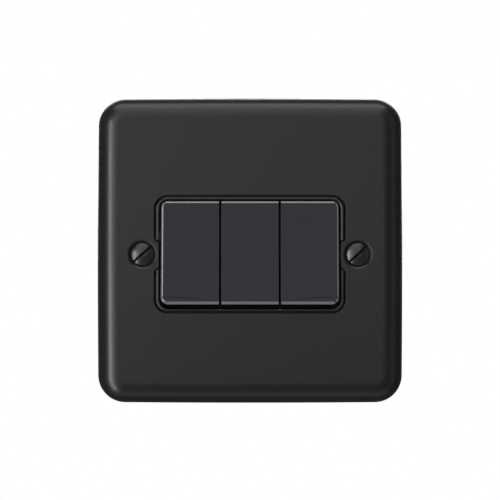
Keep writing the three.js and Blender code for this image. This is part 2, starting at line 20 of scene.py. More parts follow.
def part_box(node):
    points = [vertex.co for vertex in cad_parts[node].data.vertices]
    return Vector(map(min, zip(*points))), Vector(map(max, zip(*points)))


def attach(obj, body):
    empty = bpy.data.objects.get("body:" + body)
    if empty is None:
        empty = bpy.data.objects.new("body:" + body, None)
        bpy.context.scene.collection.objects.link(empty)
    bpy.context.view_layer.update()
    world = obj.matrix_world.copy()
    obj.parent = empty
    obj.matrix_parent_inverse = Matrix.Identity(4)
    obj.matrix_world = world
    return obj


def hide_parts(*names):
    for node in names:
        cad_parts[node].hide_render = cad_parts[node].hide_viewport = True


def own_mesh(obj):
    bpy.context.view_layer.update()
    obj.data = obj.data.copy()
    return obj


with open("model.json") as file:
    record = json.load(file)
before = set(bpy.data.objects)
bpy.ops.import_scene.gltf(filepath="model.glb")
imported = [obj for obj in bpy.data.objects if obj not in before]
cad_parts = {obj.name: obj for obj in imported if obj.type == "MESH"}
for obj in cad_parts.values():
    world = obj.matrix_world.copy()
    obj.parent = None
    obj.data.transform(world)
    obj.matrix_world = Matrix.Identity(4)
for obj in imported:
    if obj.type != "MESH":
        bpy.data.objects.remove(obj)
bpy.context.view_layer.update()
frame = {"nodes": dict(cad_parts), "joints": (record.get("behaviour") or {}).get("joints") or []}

MM = 0.001
BASE = "base"
LOG = logging.getLogger("light_switch")

GANG_PITCH = 16.6
WIRE_Y = 10.4
TERMINAL_Z = 13.5
LEAD_RADIUS = 1.72

Point = tuple[float, float, float]
Outline = list[tuple[float, float]]
Accent = tuple["Finish", Callable[[Vector, Vector], bool]]


# ------------------------------------------------------------------ frame readings


def box_mm(node: str) -> tuple[Vector, Vector]:
    """Lowest and highest corner of a CAD node.

    Args:
        node: The node's name.

    Returns:
        Both corners, in millimetres.
    """
    low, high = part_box(node)
    return Vector(low) / MM, Vector(high) / MM


def centre_mm(node: str) -> tuple[float, float]:
    """X and Z of a CAD node's middle, in millimetres."""
    low, high = box_mm(node)
    return (low.x + high.x) / 2, (low.z + high.z) / 2


def joint_named(name: str) -> dict:
    """The frame's joint of that name."""
    return next(joint for joint in frame["joints"] if joint["name"] == name)


# ------------------------------------------------------------------ solids


class Axis(Enum):
    """Direction that a prism or a turned solid runs along."""

    X = "x"
    Y = "y"
    Z = "z"

    def place(self, a: float, b: float, along: float) -> Point:
        """A point from its two cross coordinates, in X, Y, Z order, and its place along."""
        return {Axis.X: (along, a, b), Axis.Y: (a, along, b), Axis.Z: (a, b, along)}[self]


def arc(centre: tuple[float, float], radius: float, start: float, end: float, steps: int) -> Outline:
    """Points along an arc.

    Args:
        centre: The arc's centre.
        radius: Its radius.
        start: First angle, in degrees.
        end: Last angle, in degrees.
        steps: How many chords it has.

    Returns:
        The points, both ends included.
    """
    angles = [math.radians(start + (end - start) * i / steps) for i in range(steps + 1)]
    return [(centre[0] + radius * math.cos(a), centre[1] + radius * math.sin(a)) for a in angles]


def rounded_rectangle(half_a: float, half_b: float, radius: float, steps: int = 12) -> Outline:
    """Outline of a rounded rectangle about the origin."""
    a, b = half_a - radius, half_b - radius
    corners = [(a, b, 0), (-a, b, 90), (-a, -b, 180), (a, -b, 270)]
    return [p for x, y, turn in corners for p in arc((x, y), radius, turn, turn + 90, steps)]


def ring_faces(rows: int, columns: int) -> list[tuple[int, ...]]:
    """Faces of a tube of rows of vertices, closed by one face at each end."""
    faces: list[tuple[int, ...]] = []
    for row in range(rows - 1):
        for column in range(columns):
            after = (column + 1) % columns
            low, high = row * columns, (row + 1) * columns
            faces.append((low + column, low + after, high + after, high + column))
    faces.append(tuple(reversed(range(columns))))
    faces.append(tuple(range((rows - 1) * columns, rows * columns)))
    return faces


class Solid:
    """A closed mesh, in millimetres, that is joined, cut and rounded before it becomes a piece."""

    def __init__(self, vertices: Sequence[Point], faces: Sequence[Sequence[int]]) -> None:
        """Makes the solid with its faces pointing out.

        Args:
            vertices: The corners.
            faces: Vertex numbers of each face.
        """
        mesh = bpy.data.meshes.new("solid")
        mesh.from_pydata(vertices, [], faces)
        self._adopt(mesh)
        self.edit(lambda shape: bmesh.ops.recalc_face_normals(shape, faces=shape.faces))

    def _adopt(self, mesh: bpy.types.Mesh) -> None:
        """Gives the solid an object for its mesh."""
        self.object = bpy.data.objects.new("solid", mesh)
        bpy.context.scene.collection.objects.link(self.object)

    def copy(self) -> "Solid":
        """Another solid with its own copy of the mesh."""
        twin = Solid.__new__(Solid)
        twin._adopt(self.object.data.copy())
        return twin

    def edit(self, change: Callable[[bmesh.types.BMesh], object]) -> "Solid":
        """Changes the mesh through bmesh and returns the solid."""
        shape = bmesh.new()
        shape.from_mesh(self.object.data)
        change(shape)
        shape.to_mesh(self.object.data)
        shape.free()
        return self

    @classmethod
    def of_node(cls, node: str) -> "Solid":
        """A solid that starts from a CAD node's own shape.

        Args:
            node: The node's name.

        Returns:
            Its shape, with flat faces whole again instead of in triangles.
        """
        solid = cls.__new__(cls)
        source = frame["nodes"][node]
        mesh = source.data.copy()
        mesh.transform(Matrix.Scale(1 / MM, 4) @ source.matrix_world)
        mesh.materials.clear()
        solid._adopt(mesh)

        def tidy(shape: bmesh.types.BMesh) -> None:
            """Welds the corners and joins flat neighbours."""
            bmesh.ops.remove_doubles(shape, verts=shape.verts, dist=1e-3)
            bmesh.ops.dissolve_limit(
                shape, angle_limit=math.radians(0.5), verts=shape.verts, edges=shape.edges
            )

        return solid.edit(tidy)

    @classmethod
    def box(cls, low: Point, high: Point) -> "Solid":
        """A box between two corners."""
        outline = [(low[0], low[1]), (high[0], low[1]), (high[0], high[1]), (low[0], high[1])]
        return cls.prism(outline, low[2], high[2], Axis.Z)

    @classmethod
    def prism(cls, outline: Outline, start: float, end: float, axis: Axis) -> "Solid":
        """An outline carried along an axis.

        Args:
            outline: Points in the plane across the axis.
            start: Where it starts along the axis.
            end: Where it ends.
            axis: The axis.

        Returns:
            The solid.
        """
        vertices = [axis.place(a, b, along) for along in (start, end) for a, b in outline]
        return cls(vertices, ring_faces(2, len(outline)))

    @classmethod
    def turned(
        cls, profile: Outline, centre: tuple[float, float] = (0, 0), axis: Axis = Axis.Y, sides: int = 48
    ) -> "Solid":
        """A profile turned about an axis.

        Args:
            profile: Radius and place along the axis of each step; no radius is 0.
            centre: The axis's cross coordinates.
            axis: The axis.
            sides: Facets round it.

        Returns:
            The solid, closed by a disc at each end.
        """
        vertices = []
        for radius, along in profile:
            for i in range(sides):
                turn = math.tau * i / sides
                a = centre[0] + radius * math.cos(turn)
                vertices.append(axis.place(a, centre[1] + radius * math.sin(turn), along))
        return cls(vertices, ring_faces(len(profile), sides))

    @classmethod
    def bar(
        cls,
        radius: float,
        start: float,
        end: float,
        centre: tuple[float, float] = (0, 0),
        axis: Axis = Axis.Y,
        sides: int = 48,
    ) -> "Solid":
        """A round bar."""
        return cls.turned([(radius, start), (radius, end)], centre, axis, sides)

    def _bake(self) -> None:
        """Makes the modifiers' result the mesh."""
        graph = bpy.context.evaluated_depsgraph_get()
        baked = bpy.data.meshes.new_from_object(self.object.evaluated_get(graph))
        old = self.object.data
        self.object.modifiers.clear()
        self.object.data = baked
        bpy.data.meshes.remove(old)

    def _combine(self, operation: str, others: Iterable["Solid"]) -> "Solid":
        """Runs one boolean step against each other solid and discards them."""
        for other in others:
            modifier = self.object.modifiers.new("combine", "BOOLEAN")
            modifier.operation = operation
            modifier.solver = "EXACT"
            modifier.object = other.object
            self._bake()
            bpy.data.meshes.remove(other.object.data)
        return self

    def join(self, *others: "Solid") -> "Solid":
        """Adds other solids."""
        return self._combine("UNION", others)

    def cut(self, *others: "Solid") -> "Solid":
        """Takes other solids away."""
        return self._combine("DIFFERENCE", others)

    def meet(self, *others: "Solid") -> "Solid":
        """Keeps what is inside each other solid too."""
        return self._combine("INTERSECT", others)

    def rounded(
        self,
        width: float,
        segments: int = 3,
        degrees: float = 35,
        weight: Callable[[Vector], float] | None = None,
        clamp: bool = True,
    ) -> "Solid":
        """Rounds the sharp edges.

        Args:
            width: The rounding's width.
            segments: Its steps.
            degrees: Edges that turn by less stay as they are.
            weight: Share of the width that an edge gets, from its midpoint; all of it if left out.
            clamp: Whether short edges hold the width back.

        Returns:
            The solid.
        """

        def tidy(shape: bmesh.types.BMesh) -> None:
            """Welds slivers and marks each edge's share."""
            bmesh.ops.remove_doubles(shape, verts=shape.verts, dist=2e-3)
            share = shape.edges.layers.float.get("bevel_weight_edge")
            share = share or shape.edges.layers.float.new("bevel_weight_edge")
            for edge in shape.edges:
                sharp = edge.is_manifold and edge.calc_face_angle(0) > math.radians(degrees)
                middle = (edge.verts[0].co + edge.verts[1].co) / 2
                edge[share] = (weight(middle) if weight else 1.0) if sharp else 0.0

        self.edit(tidy)
        modifier = self.object.modifiers.new("round", "BEVEL")
        modifier.width = width
        modifier.segments = segments
        modifier.limit_method = "WEIGHT"
        modifier.use_clamp_overlap = clamp
        modifier.miter_outer = "MITER_ARC"
        self._bake()
        return self

    def moved(self, matrix: Matrix) -> "Solid":
        """Moves the mesh itself."""
        self.object.data.transform(matrix)
        return self

    def piece(
        self,
        name: str,
        body: str,
        finish: "Finish",
        replaces: Sequence[str] = (),
        smooth_degrees: float = 38,
        accent: "Accent | None" = None,
    ) -> bpy.types.Object:
        """Makes the solid a finished piece of the object.

        Args:
            name: The piece's name.
            body: CAD body that it rides on.
            finish: Its surface.
            replaces: CAD nodes that it stands for.
            smooth_degrees: Edges that turn by less are shaded smooth.
            accent: A second surface, and which faces (middle, normal) have it.

        Returns:
            The Blender object.
        """
        mesh = self.object.data
        mesh.transform(Matrix.Scale(MM, 4))
        mesh.shade_smooth()
        mesh.set_sharp_from_angle(angle=math.radians(smooth_degrees))
        modifier = self.object.modifiers.new("even", "WEIGHTED_NORMAL")
        modifier.keep_sharp = True
        self._bake()
        self.object.data.name = name
        self.object.name = name
        dress(self.object, body, finish, replaces)
        if accent:
            second, chosen = accent
            self.object.data.materials.append(second.material())
            for face in self.object.data.polygons:
                face.material_index = int(chosen(face.center / MM, face.normal))
        return self.object


def dress(
    piece: bpy.types.Object, body: str, finish: "Finish", replaces: Sequence[str] = ()
) -> bpy.types.Object:
    """Finishes a placed object and fixes it to its body.

    Args:
        piece: The object, where it belongs.
        body: CAD body that it rides on.
        finish: Its surface.
        replaces: CAD nodes that it stands for.

    Returns:
        The same object.
    """
    piece.data.materials.clear()
    piece.data.materials.append(finish.material())
    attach(piece, body)
    if replaces:
        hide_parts(*replaces)
    LOG.info("%s on %s in %s", piece.name, body, finish.title)
    return piece


# ------------------------------------------------------------------ finishes


def linear(colour: str) -> tuple[float, float, float, float]:
    """Linear colour of an sRGB hex value such as "#36373a"."""
    channels = [int(colour[i : i + 2], 16) / 255 for i in (1, 3, 5)]
    flat = [c / 12.92 if c <= 0.04045 else ((c + 0.055) / 1.055) ** 2.4 for c in channels]
    return (flat[0], flat[1], flat[2], 1.0)


def add_node(
    tree: bpy.types.NodeTree,
    kind: str,
    links: dict[str, bpy.types.NodeSocket] | None = None,
    **settings: object,
) -> bpy.types.Node:
    """Adds a node with its settings and links.

    Args:
        tree: The node tree.
        kind: The node's type.
        links: Input socket's name to the socket that feeds it.
        **settings: Input values and properties by name, with _ for a space.

    Returns:
        The node.
    """
    node = tree.nodes.new(kind)
    for key, value in settings.items():
        socket = node.inputs.get(key.replace("_", " "))
        if socket is None:
            setattr(node, key, value)
        else:
            socket.default_value = value
    for name, source in (links or {}).items():
        tree.links.new(source, node.inputs[name])
    return node


class Grain(Enum):
    """How a surface was made, which sets the pattern of its relief."""

    SPRAYED = "soft orange peel of a baked coat"
    POLISHED = "long soft waves of a polished tool, with faint hairlines"
    ERODED = "even pitted texture of a spark-eroded tool"
    STAMPED = "fine straight rolling lines of strip"
    TURNED = "small tumbled dents"


@dataclass(frozen=True)
class Finish:
    """A real surface: what it is made of and how it was made."""

    title: str
    slot: str
    colour: str
    shade: str
    grain: Grain
    grain_mm: float
    relief_mm: float
    roughness: float
    spread: float = 0.05
    ior: float = 1.5
    metallic: float = 0.0
    blotch_mm: float = 9.0
    coat: float = 0.0
    coat_roughness: float = 0.1

    def material(self) -> bpy.types.Material:
        """The finish's material, made once."""
        made = bpy.data.materials.get(self.title)
        return made if made else self._make()

    def _relief(self, tree: bpy.types.NodeTree, place: bpy.types.NodeSocket) -> bpy.types.NodeSocket:
        """Height pattern of the grain, from 0 to 1.

        Args:
            tree: The material's node tree.
            place: Object coordinates, in metres.

        Returns:
            The socket that carries the height.
        """
        fine = 1 / (self.grain_mm * MM)
        stretch = (0.03, 1, 1) if self.grain is Grain.STAMPED else (1, 1, 1)
        mapped = add_node(tree, "ShaderNodeMapping", {"Vector": place}, Scale=stretch)
        vector = {"Vector": mapped.outputs["Vector"]}
        if self.grain is Grain.ERODED:
            pits = add_node(tree, "ShaderNodeTexVoronoi", vector, Scale=fine, feature="SMOOTH_F1")
            return pits.outputs["Distance"]
        detail = {Grain.SPRAYED: 1.5, Grain.POLISHED: 1.0, Grain.TURNED: 3.0}.get(self.grain, 4.0)
        waves = add_node(tree, "ShaderNodeTexNoise", vector, Scale=fine, Detail=detail, Roughness=0.5)
        return waves.outputs["Fac"]

    def _make(self) -> bpy.types.Material:
        """Builds the material's nodes."""
        made = bpy.data.materials.new(self.title)
        made.use_nodes = True
        tree = made.node_tree
        tree.nodes.clear()
        place = add_node(tree, "ShaderNodeTexCoord").outputs["Object"]
        wide = 1 / (self.blotch_mm * MM)
        blotch = add_node(
            tree, "ShaderNodeTexNoise", {"Vector": place}, Scale=wide, Detail=4.0, Roughness=0.6
        ).outputs["Fac"]
        relief = self._relief(tree, place)
        tint = add_node(
            tree, "ShaderNodeMix", {"Factor": blotch}, data_type="RGBA", clamp_factor=True
        )
        tint.inputs[6].default_value = linear(self.colour)
        tint.inputs[7].default_value = linear(self.shade)
        dull = add_node(
            tree,
            "ShaderNodeMapRange",
            {"Value": blotch},
            From_Min=0.3,
            From_Max=0.7,
            To_Min=self.roughness - self.spread,
            To_Max=self.roughness + self.spread,
        )
        bump = add_node(
            tree, "ShaderNodeBump", {"Height": relief}, Strength=1.0, Distance=self.relief_mm * MM
        )
        shader = add_node(
            tree,
            "ShaderNodeBsdfPrincipled",
            {
                "Base Color": tint.outputs[2],
                "Roughness": dull.outputs["Result"],
                "Normal": bump.outputs["Normal"],
            },
            Metallic=self.metallic,
            IOR=self.ior,
            Coat_Weight=self.coat,
            Coat_Roughness=self.coat_roughness,
        )
        add_node(tree, "ShaderNodeOutputMaterial", {"Surface": shader.outputs["BSDF"]})
        return made


# Polyester powder coat on zinc-plated steel: an even deep matt with a soft sheen where it turns.
MATT_PLATE = Finish(
    "powder coated steel, matt black", "matt_black_plate", "#1d1d1e", "#1a1a1b",
    Grain.SPRAYED, grain_mm=0.35, relief_mm=0.003, roughness=0.3, spread=0.02,
)
# Urea resin from a polished tool: hard, glossy, near black with a cool cast.
GLOSS_ROCKER = Finish(
    "moulded urea, polished black", "gloss_black_rocker", "#1b1c24", "#181921",
    Grain.POLISHED, grain_mm=6.0, relief_mm=0.004, roughness=0.16, spread=0.02, ior=1.5,
)
# Painted highlight: a thin pale edge round the rockers, which stands in for the bright line that soft
# light draws round gloss rockers, with an IOR well above the resin's own 1.5.
PAINTED_EDGE_HIGHLIGHT = Finish(
    "moulded urea, painted edge highlight", "gloss_black_rocker", "#78787f", "#727279",
    Grain.POLISHED, grain_mm=6.0, relief_mm=0.002, roughness=0.14, spread=0.02, ior=1.9,
)
# Polycarbonate from a fine tool: darker than the plate and half glossy.
BLACK_BEZEL = Finish(
    "moulded polycarbonate, satin black", "black_bezel", "#1a1a1c", "#161618",
    Grain.POLISHED, grain_mm=2.0, relief_mm=0.002, roughness=0.16, spread=0.02, ior=1.6,
)
# The same moulding below its face, duller than the face and painted darker as painted shade, so the
# gaps beside it read as dark. Its IOR is below the resin's own.
DULL_FLANGE_PAINTED_SHADE = Finish(
    "moulded polycarbonate, eroded, painted shade", "black_bezel", "#101011", "#0d0d0e",
    Grain.ERODED, grain_mm=0.3, relief_mm=0.02, roughness=0.6, ior=1.4,
)
# Glass-filled nylon from an eroded tool: dull and evenly pitted.
DARK_HOUSING = Finish(
    "moulded glass filled nylon, eroded black", "dark_housing", "#2c2d2e", "#242526",
    Grain.ERODED, grain_mm=0.45, relief_mm=0.04, roughness=0.55, ior=1.53,
)
# Unfilled nylon: milky off-white with a waxy gloss.
NATURAL_NYLON = Finish(
    "moulded nylon, natural", "natural_nylon", "#e4dfd0", "#d6d0bd",
    Grain.POLISHED, grain_mm=1.2, relief_mm=0.01, roughness=0.4, ior=1.53,
)
# Free-cutting brass: sawn and drilled, with a fine grain and slight tarnish.
BRASS = Finish(
    "milled brass", "brass", "#d2ad62", "#b98f45",
    Grain.STAMPED, grain_mm=0.12, relief_mm=0.006, roughness=0.32, metallic=1.0, blotch_mm=3,
)
# Hard copper strip, blanked and coined.
COPPER = Finish(
    "stamped copper strip", "copper_blade", "#c98a63", "#b17049",
    Grain.STAMPED, grain_mm=0.1, relief_mm=0.005, roughness=0.3, metallic=1.0, blotch_mm=3,
)
# Silver and nickel rivet, headed cold.
SILVER = Finish(
    "headed silver alloy", "silver_tip", "#dcdad4", "#c8c5bd",
    Grain.TURNED, grain_mm=0.3, relief_mm=0.006, roughness=0.28, metallic=1.0, blotch_mm=1.5,
)
# Zinc plate on steel, clear passivated: greyish with a faint blue and yellow cast.
ZINC_STEEL = Finish(
    "zinc plated steel, clear passivated", "zinc_steel", "#bfc2c6", "#b4b0a2",
    Grain.TURNED, grain_mm=0.35, relief_mm=0.008, roughness=0.33, metallic=1.0, blotch_mm=2.5,
)
# Drawn spring wire with its lubricant burnt on.
SPRING_WIRE = Finish(
    "drawn spring wire", "spring_steel", "#8d8f93", "#6f7074",
    Grain.STAMPED, grain_mm=0.06, relief_mm=0.003, roughness=0.3, metallic=1.0, blotch_mm=1,
)
# Steel screw, blacked and lacquered: near black under a clear glossy skin.
BLACK_SCREW = Finish(
    "blackened steel, lacquered", "black_screw", "#1e1e1f", "#171718",
    Grain.TURNED, grain_mm=0.4, relief_mm=0.004, roughness=0.34, ior=1.5, blotch_mm=1.5,
    coat=0.5, coat_roughness=0.18,
)

# The screws' slots: near black painted shade, rough and with a low IOR, so they read as dark lines.
SLOT_PAINTED_SHADE = Finish(
    "blackened steel, painted slot shade", "black_screw", "#0b0b0c", "#080808",
    Grain.TURNED, grain_mm=0.4, relief_mm=0.004, roughness=0.75, ior=1.25,
)


# ------------------------------------------------------------------ face plate


@dataclass
class FacePlate:
    """Pressed sheet with a broad rounded edge, dimpled for its two fixing screws."""

    corner_radius: float = 7.7
    bow: float = 0.15
    edge_width: float = 6.0
    rim_height: float = 0.6
    sheet: float = 1.0
    aperture_half_x: float = 26.8
    aperture_half_z: float = 16.5
    aperture_radius: float = 3.8
    ear_x: float = 25.4
    ear_low_z: float = -4.0
    ear_high_z: float = 3.4
    ear_chamfer: float = 0.8
    dimple_radius: float = 4.0
    cup_radius: float = 4.4
    boss_radius: float = 2.4
    boss_end_y: float = -2.9
    edge_rounding: float = 0.22

    def __post_init__(self) -> None:
        """Reads the plate's size and place from the frame."""
        low, high = box_mm("face_plate")
        self.half = (high.x - low.x) / 2
        self.centre_z = (high.z + low.z) / 2
        self.face_y = low.y
        self.screw_x = [centre_mm(f"fixing_screw_{side}")[0] for side in ("left", "right")]

    def loop(self, inset: float, y: float, side_steps: int = 14, corner_steps: int = 18) -> list[Point]:
        """One closed line round the plate.

        Args:
            inset: Distance inside its outline.
            y: Depth of the line.
            side_steps: Points along each side.
            corner_steps: Points round each corner.

        Returns:
            The line's points.
        """
        half = self.half - self.bow - inset
        radius = max(self.corner_radius - inset, 1.2)
        straight = half - radius
        points: list[Point] = []
        for side in range(4):
            turn = Matrix.Rotation(math.radians(90 * side), 2)
            run = [-1 + 2 * i / side_steps for i in range(side_steps)]
            line = [(half + self.bow * (1 - part * part), part * straight) for part in run]
            line += arc((straight, straight), radius, 0, 90, corner_steps)[:-1]
            for out, along in line:
                x, z = turn @ Vector((out, along))
                points.append((x, y, z + self.centre_z))
        return points

    def pillow(self, shrink: float, back_y: float, steps: int) -> Solid:
        """Solid of the plate's raised form, a straight rim and a quarter ellipse to the flat face."""
        width = self.edge_width - shrink / 2
        rise = -self.face_y - self.rim_height - shrink
        loops = [self.loop(shrink, back_y)]
        for step in range(steps + 1):
            angle = math.pi / 2 * step / steps
            inset = shrink + width * (1 - math.cos(angle))
            loops.append(self.loop(inset, -self.rim_height - rise * math.sin(angle)))
        vertices = [point for loop in loops for point in loop]
        return Solid(vertices, ring_faces(len(loops), len(loops[0])))

    def aperture(self) -> Outline:
        """Outline of the hole for the rockers, with an ear of metal beside each screw."""
        x, z, r = self.aperture_half_x, self.aperture_half_z, self.aperture_radius
        high = [(x, self.ear_high_z + self.ear_chamfer), (x - self.ear_chamfer, self.ear_high_z)]
        high.append((self.ear_x, self.ear_high_z))
        low = [(self.ear_x, self.ear_low_z), (x - self.ear_chamfer, self.ear_low_z)]
        low.append((x, self.ear_low_z - self.ear_chamfer))
        right = high[::-1]
        left = [(-a, b) for a, b in high + low]
        return (
            right + arc((x - r, z - r), r, 0, 90, 12) + arc((r - x, z - r), r, 90, 180, 12)
            + left + arc((r - x, r - z), r, 180, 270, 12) + arc((x - r, r - z), r, 270, 360, 12)
            + low[::-1]
        )

    def build(self) -> None:
        """Builds and dresses the plate."""
        inner_y = self.face_y + self.sheet
        plate = self.pillow(0, 0, 24).cut(self.pillow(self.sheet, 1, 16))
        for x in self.screw_x:
            cup = [(self.cup_radius, self.face_y + 0.3), (self.cup_radius, inner_y), (3.1, -2.9)]
            plate.join(Solid.turned(cup, (x, 0), sides=64))
            dimple = [(self.dimple_radius, self.face_y - 1), (self.dimple_radius, self.face_y),
                      (3.6, -5.1), (2.15, -3.5), (2.15, -2)]
            plate.cut(Solid.turned(dimple, (x, 0), sides=64))
        plate.cut(Solid.prism(self.aperture(), self.face_y - 1, 1, Axis.Y))
        for i in range(1, 5):
            centre = centre_mm(f"module_screw_{i}")
            plate.join(Solid.bar(self.boss_radius, inner_y - 0.2, self.boss_end_y, centre))
            plate.cut(Solid.bar(1.3, inner_y - 0.1, 0, centre))
        plate.rounded(self.edge_rounding, segments=3)
        plate.piece("pressed_plate", BASE, MATT_PLATE, ["face_plate"])


# ------------------------------------------------------------------ switch module mouldings


@dataclass
class SwitchFrame:
    """Front moulding: the bezel that shows, its flange and the cage that carries the rockers."""

    bezel_gap: float = 0.5
    bezel_front_y: float = -5.3
    flange_front_y: float = -4.2
    flange_back_y: float = -2.7
    opening_half_x: float = 25.3
    opening_half_z: float = 15.25
    opening_radius: float = 2.6
    cage_half_x: float = 26.6
    cage_half_z: float = 16.45
    cage_back_y: float = 0.6
    ledge_z: float = 12.8
    ledge_y: float = -0.4
    pocket_half_x: float = 7.5
    notch_radius: float = 1.25
    ear_gap: float = 0.35
    painted_shade_depth: float = 0.7
    rounding: float = 0.36

    def bezel_share(self, middle: Vector) -> float:
        """Share of the rounding at a point: full on the bezel's face, slight elsewhere."""
        return 1.0 if middle.y < self.bezel_front_y + 0.05 else 0.2

    def sweep(self, side: int, near: float, far: float, depth: float) -> Solid:
        """Room for the rockers to tilt, on one side of their pivots."""
        low, high = sorted((side * near, side * far))
        return Solid.box((-self.opening_half_x, -3.7, low), (self.opening_half_x, depth, high))

    def build(self, plate: FacePlate) -> None:
        """Builds and dresses the moulding.

        Args:
            plate: The face plate whose aperture it fills.
        """
        gap = self.bezel_gap
        bezel = rounded_rectangle(plate.aperture_half_x - gap, plate.aperture_half_z - gap,
                                  plate.aperture_radius - gap)
        part = Solid.prism(bezel, self.bezel_front_y, self.flange_front_y + 0.1, Axis.Y)
        low, high = box_mm("switch_frame")
        flange = rounded_rectangle(high.x, high.z, 3)
        part.join(Solid.prism(flange, self.flange_front_y, self.flange_back_y, Axis.Y))
        part.join(Solid.box((-self.cage_half_x, self.flange_back_y - 0.1, -self.cage_half_z),
                            (self.cage_half_x, self.cage_back_y, self.cage_half_z)))
        for side in (-1, 1):
            near, far = sorted((side * (plate.ear_x - self.ear_gap), side * (plate.aperture_half_x + 1)))
            part.cut(Solid.box((near, self.bezel_front_y - 1, plate.ear_low_z - self.ear_gap),
                               (far, self.flange_front_y, plate.ear_high_z + self.ear_gap)))
        opening = rounded_rectangle(self.opening_half_x, self.opening_half_z, self.opening_radius)
        part.cut(Solid.prism(opening, self.bezel_front_y - 1, -3.6, Axis.Y))
        for side in (-1, 1):
            part.cut(self.sweep(side, 2.4, self.ledge_z, -2.3),
                     self.sweep(side, self.ledge_z - 0.2, self.opening_half_z, self.ledge_y))
        for gang in (-1, 0, 1):
            x = gang * GANG_PITCH
            part.cut(Solid.box((x - self.pocket_half_x, -4, -self.ledge_z),
                               (x + self.pocket_half_x, 1, self.ledge_z)))
        end = self.cage_half_x - 0.6
        pivot_y = joint_named("rocker_2_switch")["pos_m"][1] / MM
        part.cut(Solid.bar(self.notch_radius, -end, end, (pivot_y, 0), Axis.X),
                 Solid.box((-end, pivot_y, -self.notch_radius), (end, 1, self.notch_radius)))
        for x in plate.screw_x:
            part.cut(Solid.bar(plate.cup_radius + 0.4, -5, self.flange_back_y, (x, 0)))
        for i in range(1, 5):
            part.cut(Solid.bar(plate.boss_radius + 0.3, -5, -2, centre_mm(f"module_screw_{i}")))
        part.join(Solid.box((-self.opening_half_x - 0.1, self.bezel_front_y + 0.3, 3.75),
                            (-self.opening_half_x + 0.25, -3.7, 6.1)))
        part.rounded(self.rounding, segments=5, weight=self.bezel_share, clamp=False)
        # Faces deeper than this get the darker painted shade of the gaps beside the bezel.
        below = self.bezel_front_y + self.painted_shade_depth
        part.piece("front_moulding", BASE, BLACK_BEZEL, ["switch_frame"],
                   accent=(DULL_FLANGE_PAINTED_SHADE, lambda middle, normal: middle.y > below))


# ------------------------------------------------------------------ rockers


